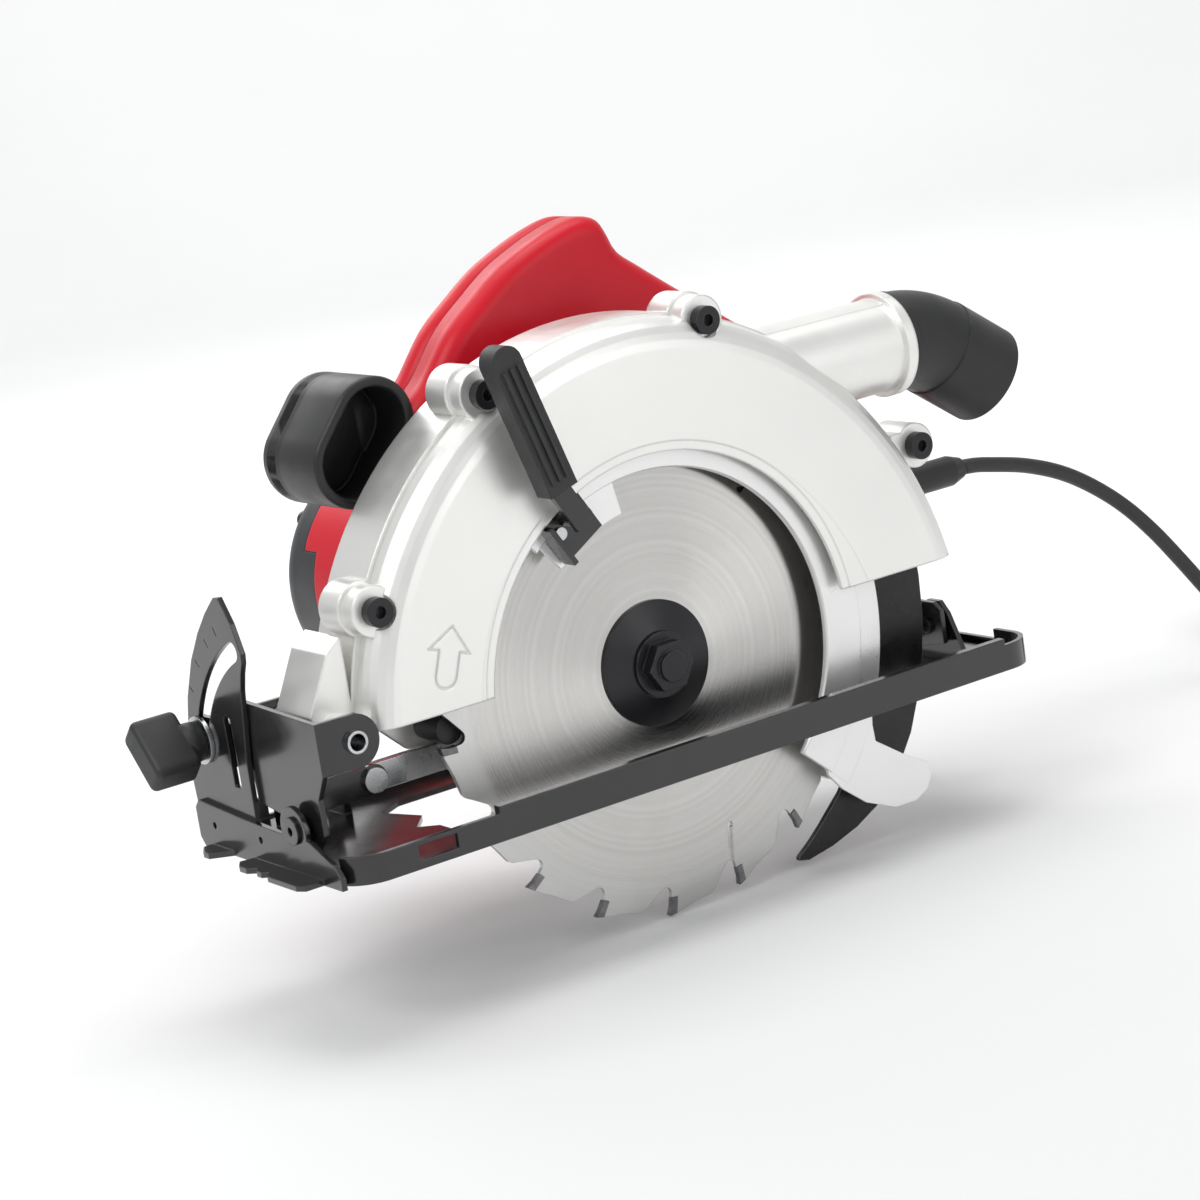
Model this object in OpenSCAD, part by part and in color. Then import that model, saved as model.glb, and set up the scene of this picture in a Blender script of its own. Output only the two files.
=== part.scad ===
// Portable circular saw with a 190 mm blade, built as separate parts that move on real joints.
// X runs to the rear of the saw, Y from the blade side to the motor side, Z up.
// Z = 0 is the underside of the sole plate, straight below the blade's axis at X = 0, Y = 0.

/* [Blade] */
// Blade radius over the tooth tips
blade_r = 95; // [80:115]
// Number of teeth
teeth = 18; // [12:40]
// Blade plate thickness
plate_t = 1.8; // [1.2:0.1:2.4]
// Carbide tip width (kerf)
kerf = 2.6; // [2:0.1:3.4]
// Blade bore radius
arbor_r = 10; // [8:0.5:15]
// Angle of the first tooth tip, from +X toward +Z
first_tip = 3.9; // [0:0.1:20]

/* [Upper guard] */
// Outer radius at the split line of the guard
guard_r = 128; // [120:140]
// Radius of the round window in the guard cover
window_r = 78.6; // [60:90]
// Near face of the cover
face_y = -16; // [-22:-12]
// Split plane between cover and rear shell
split_y = -3; // [-6:0]
// Rear face of the rear shell
back_y = 22; // [18:30]
// Dust tube radius
tube_r = 18; // [14:22]

/* [Sole plate] */
// Height of the blade axis over the sole
axis_h = 36.5; // [30:60]
// Sheet thickness
sheet = 2; // [1.5:0.1:3]
// Front edge of the sole plate
base_x0 = -152; // [-170:-130]
// Rear edge of the sole plate
base_x1 = 157; // [140:180]
// Blade-side edge of the sole plate
base_y0 = -30; // [-40:-25]
// Motor-side edge of the sole plate
base_y1 = 78; // [70:100]
// Height of the folded rim
rim_h = 10; // [6:14]

/* [Drive] */
// Gear module
gear_m = 1.3; // [1:0.05:2]
// Teeth on the spindle gear
gear_z = 52; // [36:56]
// Teeth on the motor pinion
pinion_z = 11; // [7:12]
// Motor barrel radius
motor_r = 47; // [42:52]

/* [Main handle] */
// Near side of the handle
grip_y0 = 45.5; // [44:50]
// Far side of the handle
grip_y1 = 75.5; // [70:80]

/* [Cord] */
// Cord diameter
cord_d = 6.4; // [5:0.1:9]

/* [Hidden] */
$fn = 96;
gear_rp = gear_m * gear_z / 2;
pinion_rp = gear_m * pinion_z / 2;
motor_x = -27;
motor_z = sqrt(pow(gear_rp + pinion_rp, 2) - pow(motor_x, 2));
grip_ym = (grip_y0 + grip_y1) / 2;
// bevel axis (parallel to X) and depth axis (parallel to Y), measured from the blade axis
bevel_y = 2.5;
bevel_z = -19.5;
depth_x = -136;
depth_z = 9.8;
// second circle of the guard outline, tangent to the first at this angle
join_a = 55;
grow = 27;
bulge_x = -grow * cos(join_a);
bulge_z = -2 - grow * sin(join_a);
cut_z = 9.5;
tube_y = 5;
tube_z = 91.7;
arc_r = 215;
arc_a = 3;
bolt_x = depth_x + arc_r * cos(arc_a);
bolt_z = depth_z + arc_r * sin(arc_a);
slot_r = 65.5;
knob_y = bevel_y + slot_r * cos(21.3);
knob_z = bevel_z + slot_r * sin(21.3);
floor_z = -blade_r;
cord_r = cord_d / 2;
red = [0.86, 0.06, 0.14];
black = [0.08, 0.08, 0.08];
steel = [0.72, 0.72, 0.73];
cast = [0.86, 0.86, 0.84];
grey = [0.3, 0.31, 0.32];
zinc = [0.75, 0.78, 0.82];

// ---------- helpers ----------

// moves parts drawn about the blade axis to their height over the sole
module up() translate([0, 0, axis_h]) children();

// extrudes an outline drawn in X and Z from y0 to y1
module slab(y0, y1)
  translate([0, y1, 0]) rotate([90, 0, 0]) linear_extrude(height = y1 - y0) children();

// extrudes an outline drawn in Y and Z from x0 to x1
module xslab(x0, x1)
  translate([x0, 0, 0]) rotate([90, 0, 90]) linear_extrude(height = x1 - x0) children();

module rod(r, y0, y1, x = 0, z = 0)
  translate([x, y1, z]) rotate([90, 0, 0]) cylinder(r = r, h = y1 - y0);

module xrod(r, x0, x1, y = 0, z = 0)
  translate([x0, y, z]) rotate([0, 90, 0]) cylinder(r = r, h = x1 - x0);

// revolves a profile about the Y axis; its second coordinate is -Y
module spin(a0 = 0, a = 360)
  rotate([90, 0, 0]) rotate([0, 0, a0]) rotate_extrude(angle = a) children();

module block(x0, x1, y0, y1, z0, z1)
  translate([x0, y0, z0]) cube([x1 - x0, y1 - y0, z1 - z0]);

// rectangle with rounded corners
module rrect(x0, y0, x1, y1, r) {
  translate([x0 + r, y0]) square([x1 - x0 - 2 * r, y1 - y0]);
  translate([x0, y0 + r]) square([x1 - x0, y1 - y0 - 2 * r]);
  for (x = [x0 + r, x1 - r], y = [y0 + r, y1 - r]) translate([x, y]) circle(r = r);
}

// two circles joined by a bar
module stadium(r, half) {
  translate([-half, -r]) square([2 * half, 2 * r]);
  for (s = [-half, half]) translate([s, 0]) circle(r = r);
}

// annulus sector
module ring_sector(r0, r1, a0, a1) {
  n = 24;
  step = (a1 - a0) / n;
  ro = r1 * 1.2;
  intersection() {
    difference() {
      circle(r = r1);
      circle(r = r0);
    }
    polygon(concat([[0, 0]], [for (i = [0:n]) ro * [cos(a0 + i * step), sin(a0 + i * step)]]));
  }
}

function pol(r, a) = [r * cos(a), r * sin(a)];

// ---------- upper guard outline ----------

module far_side() {
  d = [cos(join_a), sin(join_a)];
  n = [sin(join_a), -cos(join_a)];
  c = [0, -2];
  polygon([c + 400 * d, c - 400 * d, c - 400 * d + 400 * n, c + 400 * d + 400 * n]);
}

// stations round the guard: centre x and z, extra radius, angle
stations = concat([for (i = [0:22]) [bulge_x, bulge_z, grow, 4 + i * (join_a - 4) / 22]],
  [for (i = [1:54]) [0, -2, 0, join_a + i * (182 - join_a) / 54]]);

function around(a, r) = [a[0] + (r + a[2]) * cos(a[3]), a[1] + (r + a[2]) * sin(a[3])];

module guard_outline(r) intersection() {
  polygon(concat([[0, -40]], [for (a = stations) around(a, r)]));
  translate([-250, cut_z]) square([500, 400]);
}

// half section of the cover, radius and y
rim_r = 11;
rim_t = 2.4;
rim_section = let (c = guard_r - rim_r) concat(
  [[84, face_y + rim_t], [84, face_y]],
  [for (t = [0:15:90]) [c + rim_r * sin(t), face_y + rim_r * (1 - cos(t))]],
  [[guard_r, split_y], [guard_r - rim_t, split_y]],
  [for (t = [90:-15:0]) [c + (rim_r - rim_t) * sin(t), face_y + rim_r - (rim_r - rim_t) * cos(t)]]);

module guard_rim() {
  m = len(rim_section);
  n = len(stations);
  pts = [for (a = stations) for (p = rim_section) let (q = around(a, p[0])) [q[0], p[1], q[1]]];
  walls = [for (i = [0:n - 2], k = [0:m - 1]) let (a = i * m + k, b = i * m + (k + 1) % m)
    each [[a, b + m, b], [a, a + m, b + m]]];
  // inner point that faces outer point 1 + j, and the two ends of the sweep as quads
  function inside(j) = j == 0 ? 0 : 18 - j;
  ends = [for (j = [0:7]) let (a = 1 + j, b = 2 + j, c = inside(j + 1), d = inside(j), e = (n - 1) * m)
    each [[a, b, c], [a, c, d], [a + e, c + e, b + e], [a + e, d + e, c + e]]];
  polyhedron(points = pts, faces = concat(walls, ends));
}

boss_xz = [[-117, 50], [-61.3, 113.5], [35, 120.2]];

// ---------- sole plate and its fixed fittings ----------

module base_plate() color(black) up() translate([0, 0, -axis_h]) difference() {
  union() {
    linear_extrude(height = sheet) rrect(base_x0, base_y0, base_x1, base_y1, 14);
    linear_extrude(height = rim_h) difference() {
      rrect(base_x0, base_y0, base_x1, base_y1, 14);
      rrect(base_x0 + sheet, base_y0 + sheet, base_x1 - sheet, base_y1 - sheet, 12);
    }
    // raised rolled edge along the blade side
    block(-92, 140, base_y0, base_y0 + 3.4, rim_h - 0.5, rim_h + 2.5);
    block(-92, 140, -17.5, -15.5, 0, 5);
    block(132, 152, 30, 32, 0, rim_h + 2);
    // bridge over the rip fence arm
    difference() {
      block(-130, -106, 50, 64, 0, 11.6);
      block(-127, -109, 40, 70, -1, 8.6);
      translate([-118, 57, 5]) cylinder(r = 3.06, h = 10);
    }
  }
  // blade window with its sight notch
  translate([0, 0, -1]) linear_extrude(height = sheet + 2)
    polygon([[-97, -14.5], [126, -14.5], [126, 46], [-89, 46], [-100.5, 39], [-94, 21],
      [-103, 10], [-97, 4]]);
  // recess in the side of the rail
  block(-126, -110, base_y0 - 1, base_y0 + sheet + 0.5, 3, 8.4);
  // room for the bevel quadrant and for the tilting bracket
  block(-153.1, -150.9, 32, 78.1, 4.8, 20);
  block(-153, -147, -20, 22, 5.4, 20);
  // rear rim notches
  block(base_x1 - 3, base_x1 + 1, -6, 20, 6, 20);
  // the same recess where the rip fence arm leaves on the far side
  block(-126, -110, base_y1 - sheet - 0.5, base_y1 + 1, 3, 8.4);
  // screw holes of the fittings
  for (y = [-10, 40, 66]) translate([-146, y, -1]) cylinder(r = 2, h = 5);
}

module front_flange() color(black) up() {
  difference() {
    xslab(-155, -153) difference() {
      union() {
        polygon([[72, -axis_h], [75, -33], [75, -22], [72, -19], [40, -21], [12, -22],
          [-7, -22], [-22, -28], [-26, -32], [-26, -axis_h]]);
        translate([bevel_y, bevel_z]) circle(r = 8.5);
      }
      translate([bevel_y, bevel_z]) circle(r = 3);
      for (y = [28, 62]) translate([y, -27]) circle(r = 1.3);
    }
  }
  // tongue with the sight notches at sole level
  translate([0, 0, -axis_h]) linear_extrude(height = sheet)
    polygon([[-153, 66], [-159, 66], [-162.4, 60], [-162.4, 56], [-155, 50.5], [-155, 35],
      [-160.6, 36], [-163.6, 31], [-163.6, 26], [-161, 22.6], [-163, 19.5], [-163, 16.3],
      [-161, 14.2], [-164, 10], [-164, -10], [-162, -13.3], [-153, -13.4]]);
}

module bevel_quadrant() color(black) up() xslab(-153, -151) translate([bevel_y, bevel_z])
  difference() {
    polygon([pol(74, -9), pol(75, 5), pol(76, 20), pol(77.5, 30), pol(79.5, 42), pol(81.5, 52),
      pol(83.5, 60), pol(85, 65.5), pol(85.5, 67), pol(84.5, 69), pol(74, 71), pol(63, 71.5),
      pol(60, 70), pol(57, 66.5), [25, 46], [30, 20], [31, -12]]);
    // arc slot for the clamp bolt
    ring_sector(slot_r - 3.7, slot_r + 3.7, 20, 66.1);
    translate(pol(slot_r, 20)) circle(r = 3.7);
    translate(pol(slot_r, 66.1)) circle(r = 3.7);
    // lightening window
    translate([37, 9]) square([5, 24]);
    translate([39.5, 33]) circle(r = 2.5);
    // graduation
    for (a = [24, 34, 44, 53.7, 61]) rotate(a) translate([74, -0.25]) square([3.5, 0.5]);
  }

module base_pivots() color(zinc) up() {
  difference() {
    union() {
      xrod(2.95, -153, -146.5, bevel_y, bevel_z);
      xrod(5, -156.2, -155, bevel_y, bevel_z);
      xrod(2.95, -155, -153, bevel_y, bevel_z);
    }
    xrod(1.6, -157, -150, bevel_y, bevel_z);
  }
  xrod(2.95, 128.5, 136, bevel_y, bevel_z);
  xrod(5, 136, 138, bevel_y, bevel_z);
  for (y = [-10, 40, 66]) translate([-146, y, -axis_h + 0.2]) {
    cylinder(r = 2, h = sheet - 0.2);
    translate([0, 0, sheet - 0.2]) cylinder(r = 3.2, h = 1.2);
  }
}

module rear_lug() color(black) up() {
  xslab(134, 136) difference() {
    polygon([[-14, -34.5], [-5, -15], [-1, -10.5], [6, -10.5], [12, -17], [20, -34.5]]);
    translate([bevel_y, bevel_z]) circle(r = 2.95);
  }
  block(136, 152, -10, 16, -34.5, -32.5);
}

module fence_screw() color(zinc) up() translate([-118, 57, -axis_h]) {
  // wing screw that clamps the arm of a rip fence
  translate([0, 0, 8.6]) cylinder(r = 3, h = 5);
  translate([0, 0, 13.4]) cylinder(r = 5, h = 3);
  translate([-10, -1.2, 14]) cube([20, 2.4, 8]);
}

// ---------- tilting frame ----------

module tilt_bracket() color(black) up() difference() {
  union() {
    // front plate
    xslab(-150.5, -148.5)
      polygon([[-17, 1], [-17, 19.5], [33, 21.5], [33, 12], [70, 12], [74, 8], [74, 0], [70, -4],
        [34, -4], [33, -15], [12, -18], [9, -27], [-4, -27], [-11, -21], [-11, -8]]);
    // two ears that carry the depth pin
    for (y = [[-17, -15], [31, 33]]) slab(y[0], y[1]) union() {
      polygon([[-150.5, 19.5], [-150.5, 1], [-134, 0.4], [-134, 19.4]]);
      translate([depth_x, depth_z]) circle(r = 9.6);
    }
    // lower arm that the tie strap is riveted to
    slab(14.2, 16.2) union() {
      polygon([[-149.5, -19.6], [-114.4, -19.6], [-114.4, -9.2], [-149.5, -9]]);
      translate([-114.4, -14.4]) circle(r = 5.6);
    }
  }
  rod(4, -18, 34, depth_x, depth_z);
  xrod(3, -152, -147, bevel_y, bevel_z);
  rod(3, 13, 18, -114.4, -14.4);
  xrod(3, -152, -147, knob_y, knob_z);
}

module tie_strap() color(zinc) up() slab(16.2, 18.2) difference() {
  polygon(concat([for (t = [90:12:270]) [-114.4 + 5 * cos(t), -14.4 + 5 * sin(t)]],
    [[-84, -19.4], [-60, -32.5], [80, -32.5], [128, -24], [128, -14.5], [78, -23], [-60, -23],
    [-84, -9.4]]));
  translate([-114.4, -14.4]) circle(r = 3);
}

module strap_rivet() color(zinc) up() {
  rod(3, 14.2, 18.2, -114.4, -14.4);
  rod(4.6, 12.2, 14.2, -114.4, -14.4);
  rod(4, 18.2, 19.2, -114.4, -14.4);
}

module depth_pin() color(black) up() difference() {
  union() {
    rod(4, -19, 35, depth_x, depth_z);
    rod(5.4, 33, 35, depth_x, depth_z);
  }
  rod(3, -20, 36, depth_x, depth_z);
}

module rear_bracket() color(black) up() difference() {
  union() {
    xslab(130, 132) polygon([[-6, -26], [-6, -13], [-2, -10], [7, -10], [18.2, -12], [18.2, -28],
      [6, -28]]);
    block(114, 132, 18.2, 20.2, -28, -14);
  }
  xrod(3, 129, 133, bevel_y, bevel_z);
}

module depth_arc() color(black) up() {
  difference() {
    translate([depth_x, 0, depth_z]) slab(24.5, 26.5) difference() {
      ring_sector(arc_r - 9, arc_r + 9, -10, 27);
      ring_sector(arc_r - 3.2, arc_r + 3.2, 2, 24);
      translate(pol(arc_r, 2)) circle(r = 3.2);
      translate(pol(arc_r, 24)) circle(r = 3.2);
    }
  }
  block(66, 84, 18.2, 26.5, -29.6, -27.6);
}

module bevel_bolt() color(zinc) up() {
  xrod(3, -161, -148.5, knob_y, knob_z);
  xrod(6, -148.5, -145, knob_y, knob_z);
  difference() {
    xrod(8.8, -154.6, -153.1, knob_y, knob_z);
    xrod(3, -155, -153, knob_y, knob_z);
  }
}

module bevel_knob() color(black) up() difference() {
  union() {
    translate([-178, knob_y, knob_z]) rotate([46, 0, 0]) rotate([90, 0, 90])
      linear_extrude(height = 18) rrect(-12.4, -6.4, 12.4, 6.4, 3.2);
    xrod(7.6, -161, -155, knob_y, knob_z);
  }
  xrod(3.05, -162, -154, knob_y, knob_z);
}

// ---------- upper guard ----------

module guard_cover() color(cast) up() difference() {
  union() {
    intersection() {
      union() {
        guard_rim();
        slab(face_y + 0.1, face_y + 2.2) difference() {
          circle(r = 97);
          circle(r = window_r);
        }
        // near half of the dust tube
        intersection() {
          difference() {
            union() {
              xrod(tube_r, 40, 129, tube_y, tube_z);
              xrod(20, 124.5, 129, tube_y, tube_z);
            }
            rod(100.5, -14, back_y - 2.8);
          }
          block(35, 140, face_y, split_y, 60, 130);
        }
      }
      block(-200, 200, -30, split_y, cut_z, 200);
    }
    for (b = boss_xz) rod(9, -11, split_y, b[0], b[1]);
  }
  rod(window_r, -30, 10);
  rod(82, face_y - 1, face_y + 0.5);
  xrod(tube_r - 2.5, 30, 140, tube_y, tube_z);
  for (b = boss_xz) {
    rod(2.6, -20, 0, b[0], b[1]);
    rod(6.4, -20, -11, b[0], b[1]);
  }
  // engraved outline arrow
  slab(face_y - 1, face_y + 0.5) translate([-93.9, 28.6]) rotate(-19.4) difference() {
    union() {
      translate([-4.5, -7]) square([9, 9]);
      translate([0, -7]) circle(r = 4.5);
      polygon([[-9, 1.5], [9, 1.5], [0, 11]]);
    }
    union() {
      translate([-3.9, -7]) square([7.8, 9.6]);
      translate([0, -7]) circle(r = 3.9);
      polygon([[-7.6, 2.1], [7.6, 2.1], [0, 10.1]]);
    }
  }
}

module guard_shell() color(cast) up() difference() {
  union() {
    slab(split_y, back_y) difference() {
      guard_outline(guard_r + 1.2);
      guard_outline(guard_r - 1.8);
    }
    slab(back_y - 2.6, back_y - 0.1) union() {
      guard_outline(guard_r);
      intersection() {
        circle(r = 70);
        translate([-58, -30]) square([116, 60]);
      }
      polygon([[-118, 12], [-96, -9], [-60, -16], [-40, -16], [-40, 12]]);
    }
    for (b = boss_xz) rod(10, split_y, 10, b[0], b[1]);
    rod(8.6, split_y, 14, 131, 52);
    block(120, 130, split_y, 12, 46, 58);
    // far half of the dust tube
    intersection() {
      difference() {
        union() {
          xrod(tube_r, 40, 129, tube_y, tube_z);
          xrod(20, 124.5, 129, tube_y, tube_z);
        }
        rod(100.5, -14, back_y - 2.8);
      }
      block(35, 140, split_y, 40, 60, 130);
    }
    // bosses for the riving knife
    for (a = [10, 24]) rod(6, 1.1, back_y - 1, 114 * cos(a), 114 * sin(a));
    // arm to the depth pivot
    rod(7.4, -12.5, 30.5, depth_x, depth_z);
    slab(split_y, back_y - 1)
      polygon([[-143, 12], [-144, 18], [-134, 38], [-127.5, 43], [-127.5, 12], [-130, 5]]);
  }
  rod(4.06, -13, 31, depth_x, depth_z);
  rod(18, 10, 30);
  xrod(tube_r - 2.5, 30, 140, tube_y, tube_z);
  for (b = boss_xz) rod(2.5, -4, 9, b[0], b[1]);
  rod(2.5, -4, 13, 131, 52);
  for (a = [10, 24]) rod(2.5, 0, 12, 114 * cos(a), 114 * sin(a));
  rod(3, 15, 30, bolt_x, bolt_z);
}

module cover_screws() color(black) up() {
  for (b = concat([for (p = boss_xz) [p[0], p[1], -11]], [[131, 52, split_y]])) difference() {
    union() {
      rod(5.2, b[2] - 4.2, b[2], b[0], b[1]);
      rod(2.5, b[2], b[2] + 12, b[0], b[1]);
    }
    rod(2.2, b[2] - 5, b[2] - 1.6, b[0], b[1]);
  }
}

module guard_stop() color(black) up() rod(5.5, 4, back_y - 2.6, -87, -2);

module riving_knife() color(black) up() difference() {
  slab(-1.1, 1.1) polygon(concat(
    [for (i = [0:10]) pol(103, 32 - i * 8.4)],
    [pol(103.4, -56), pol(103.8, -60.2), pol(105, -60.6), pol(108, -58.8), pol(113, -53),
     pol(118, -47), pol(122, -41.5), pol(125, -34), pol(126, -27)],
    [for (i = [0:7]) pol(126, -20 + i * 7)], [pol(124, 32)]));
  for (a = [10, 24]) rod(2.5, -3, 3, 114 * cos(a), 114 * sin(a));
}

module knife_bolts() color(black) up() for (a = [10, 24]) {
  rod(2.5, -1.1, 11.8, 114 * cos(a), 114 * sin(a));
  rod(5, -5, -1.1, 114 * cos(a), 114 * sin(a));
}

module depth_bolt() color(zinc) up() {
  rod(3, back_y - 2.6, 40, bolt_x, bolt_z);
  rod(7, back_y - 5, back_y - 2.6, bolt_x, bolt_z);
}

module tube2d(r0, r1) difference() {
  circle(r = r1);
  circle(r = r0);
}

module dust_elbow() color(black) up() {
  translate([114, tube_y, tube_z]) rotate([0, 90, 0]) linear_extrude(height = 15.8)
    tube2d(13.2, tube_r - 2.57);
  translate([129.3, tube_y, tube_z]) rotate([0, 90, 0]) linear_extrude(height = 2.9)
    tube2d(13.2, 19.4);
  translate([131, 0, tube_z - 40]) spin(55, 35) translate([40, -tube_y]) tube2d(13.5, 19);
  translate([131 + 40 * sin(35), tube_y, tube_z - 40 + 40 * cos(35)]) rotate([0, 125, 0])
    translate([0, 0, -1.2]) linear_extrude(height = 26.2) tube2d(16.2, 19.4);
}

// lever nut that clamps the depth arc
module depth_lever() color(black) up() difference() {
  union() {
    rod(8, 27.2, 38, bolt_x, bolt_z);
    translate([bolt_x, 0, bolt_z]) rotate([0, 20, 0]) {
      translate([4, 32, -4]) cube([44, 5, 8]);
      rod(6, 32, 37, 48, 0);
    }
  }
  rod(3.05, 27, 41, bolt_x, bolt_z);
}

// ---------- lower guard ----------

guard_a0 = -42;
guard_a1 = 132;

module lower_guard() color(cast) up() difference() {
  union() {
    // near wall with its raised step, outer wall and far wall
    spin(guard_a0, guard_a1 - guard_a0) polygon([[72, 9.6], [72.6, 10.4], [88, 10.4], [88.6, 9.6],
      [98, 9.6], [98, -9.6], [20, -9.6], [20, -8], [96.2, -8], [96.2, 8], [72, 8]]);
    // wider part of the near wall for the lever bracket, and its hook
    slab(-9.5, -8.1) union() {
      ring_sector(60, 76, 100, guard_a1 - 1.5);
      polygon([pol(119, -31.5), pol(131, -31.2), pol(134.5, -33), pol(135, -35.5), pol(132, -38),
        pol(124, -40.8), pol(110, -43.2), pol(97, -43.8), pol(88, -43), pol(80, -38), pol(90, -26),
        pol(97, -24), pol(99.5, -28), pol(103, -31)]);
    }
    rod(26, 7.8, 9.8);
    rod(23, 8.6, 16.5);
  }
  rod(18.06, 5, 20);
  for (p = [[-33.7, 64.4], [-39.4, 58.8]]) rod(1.55, -12, -7, p[0], p[1]);
}

module guard_bracket() color(black) up() difference() {
  guard_bracket_body();
  for (p = [[-33.7, 64.4, 3.4], [-39.4, 58.8, 2.4]]) {
    rod(1.55, -19, -8, p[0], p[1]);
    rod(p[2] + 0.2, -19, -12.4, p[0], p[1]);
  }
}

module guard_bracket_body() {
  slab(-12.4, -10.4) rotate(120.6) translate([60.5, -11]) square([17.5, 20]);
  // upturned neck that carries the lever
  translate([0, 0, 0]) rotate([0, -120.6, 0]) {
    translate([73, -24, -6]) cube([2, 12, 8]);
    translate([73, -27, -4]) cube([24, 3, 8]);
    translate([60.5, -18, 7]) cube([16.5, 6, 2]);
  }
}

module guard_rivets() color(zinc) up() for (p = [[-33.7, 64.4, 3.4], [-39.4, 58.8, 2.4]]) {
  rod(1.5, -12.4, -8, p[0], p[1]);
  rod(p[2], -13.6, -12.4, p[0], p[1]);
}

module guard_lever() color(black) up() difference() {
  translate([-49.5, 0, 83.5]) rotate([0, -107.3, 0]) difference() {
    union() {
      translate([-6, -33, -6]) cube([50, 9, 12]);
      translate([44, -24, 0]) rotate([90, 0, 0]) cylinder(r = 6, h = 9);
      translate([-2, -34, -4]) cube([44, 1, 1.6]);
      translate([-2, -34, -0.8]) cube([44, 1, 1.6]);
      translate([-2, -34, 2.4]) cube([44, 1, 1.6]);
    }
  }
  rotate([0, -120.6, 0]) translate([73, -27, -4]) cube([24, 3, 8]);
}

// ---------- blade and spindle ----------

module tooth_gap(a) {
  // from the tooth tip at angle a, round the gullet ahead of it and along the next tooth's back
  polygon([pol(97.5, a), pol(95.2, a), pol(92, a + 0.6), pol(88.5, a + 0.9), pol(86, a + 0.9),
    pol(84.7, a + 0.4), pol(84.1, a - 0.6), pol(84.4, a - 1.6), pol(85.5, a - 2.6),
    pol(89.5, a - 5.6), pol(91.4, a - 6.8), pol(92.2, a - 7.9), pol(92.5, a - 12.8),
    pol(94.1, a - 17.2), pol(95.1, a - 19.95), pol(97.5, a - 20)]);
}

// carbide tip, and the seat cut for it in the plate
module tip_shape()
  polygon([pol(94.98, 0), pol(92, 0.6), pol(88.4, 0.92), pol(88.35, 2.46), pol(94.4, 1.88)]);

module tip_seat()
  polygon([pol(99, -2), pol(88.3, -1), pol(88.3, 2.5), pol(99, 1.5)]);

module blade() color(steel) up() slab(-plate_t / 2, plate_t / 2) difference() {
  circle(r = blade_r);
  circle(r = arbor_r);
  for (i = [0:teeth - 1]) tooth_gap(first_tip + i * 360 / teeth);
  for (i = [0:teeth - 1]) rotate(first_tip + i * 360 / teeth) tip_seat();
  // expansion slots
  for (i = [2, 8, 14]) rotate(first_tip + i * 360 / teeth) {
    polygon([pol(72, 4.9), pol(78.6, 2.9), pol(87, 0.5), pol(87, -0.5), pol(78.6, 1.2),
      pol(72, 3.3)]);
    translate(pol(72.2, 4.1)) circle(r = 1.3);
  }
}

module blade_tips() color([0.45, 0.4, 0.36]) up() slab(-kerf / 2, kerf / 2)
  for (i = [0:teeth - 1]) rotate(first_tip + i * 360 / teeth) tip_shape();

module spindle() color(steel) up() difference() {
  union() {
    rod(22, plate_t / 2, 4.6);
    rod(arbor_r - 0.02, -0.7, plate_t / 2);
    rod(9, 4.6, 11.5);
    rod(6, 11.5, 42.4);
  }
  rod(4, -2, 20);
}

module outer_flange() color(black) up() spin() difference() {
  polygon([[4.3, 0.9], [23.3, 0.9], [23.3, 1.9], [12.6, 5], [4.3, 5]]);
  polygon([[4.2, 0.5], [arbor_r + 0.4, 0.5], [arbor_r + 0.4, 1.4], [4.2, 1.4]]);
}

module blade_bolt() color(black) up() {
  rod(4, -5, 19.6);
  rod(12.2, -6.6, -5);
  slab(-11.6, -6.6) circle(r = 9.8, $fn = 6);
  rod(5.7, -13.2, -11.6);
}

// involute tooth outline
function inv(rb, t) = [rb * (cos(t) + t * PI / 180 * sin(t)), rb * (sin(t) - t * PI / 180 * cos(t))];
function rot2(p, a) = [p[0] * cos(a) - p[1] * sin(a), p[0] * sin(a) + p[1] * cos(a)];
function flank_t(rb, r) = r <= rb ? 0 : sqrt(pow(r / rb, 2) - 1) * 180 / PI;
function inv_a(rb, r) = flank_t(rb, r) - acos(min(1, rb / r));

module gear2d(m, z, add, ded, thin) {
  rp = m * z / 2;
  rb = rp * cos(20);
  rr = rp - ded * m;
  ra = rp + add * m;
  half = 90 / z * thin + inv_a(rb, rp);
  n = 5;
  t1 = flank_t(rb, ra);
  pts = [for (i = [0:n]) rot2(inv(rb, t1 * i / n), -half)];
  for (k = [0:z - 1]) rotate(k * 360 / z)
    polygon(concat([[rr * cos(half) * 0.9, -rr * sin(half) * 0.9]], pts,
      [for (i = [n:-1:0]) [pts[i][0], -pts[i][1]]], [[rr * cos(half) * 0.9, rr * sin(half) * 0.9]]));
  circle(r = rr);
}

mesh_a = atan2(motor_z, motor_x);

module spindle_gear() color(steel) up() slab(26, 34) difference() {
  rotate(mesh_a) gear2d(gear_m, gear_z, 0.7, 1.25, 0.86);
  circle(r = 6);
}

module armature_shaft() color(steel) up() translate([motor_x, 0, motor_z]) {
  slab(26, 34) rotate(mesh_a + 180 + 180 / pinion_z) gear2d(gear_m, pinion_z, 0.9, 1.05, 0.82);
  rod(3.4, 34, 37);
  rod(4, 37, 127);
}

module armature_core() color([0.55, 0.4, 0.28]) up() translate([motor_x, 0, motor_z])
  difference() {
    union() {
      rod(22, 60, 96);
      rod(18, 54, 60);
      rod(18, 96, 102);
    }
    rod(4, 50, 110);
    for (i = [0:11]) rotate([0, i * 30, 0]) translate([20, 59.9, -0.8]) cube([3, 36.2, 1.6]);
  }

module commutator() color([0.72, 0.45, 0.2]) up() translate([motor_x, 0, motor_z])
  difference() {
    rod(12, 104, 116);
    rod(4, 100, 120);
    for (i = [0:11]) rotate([0, i * 30 + 15, 0]) translate([11.2, 103, -0.3]) cube([2, 14, 0.6]);
  }

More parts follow.
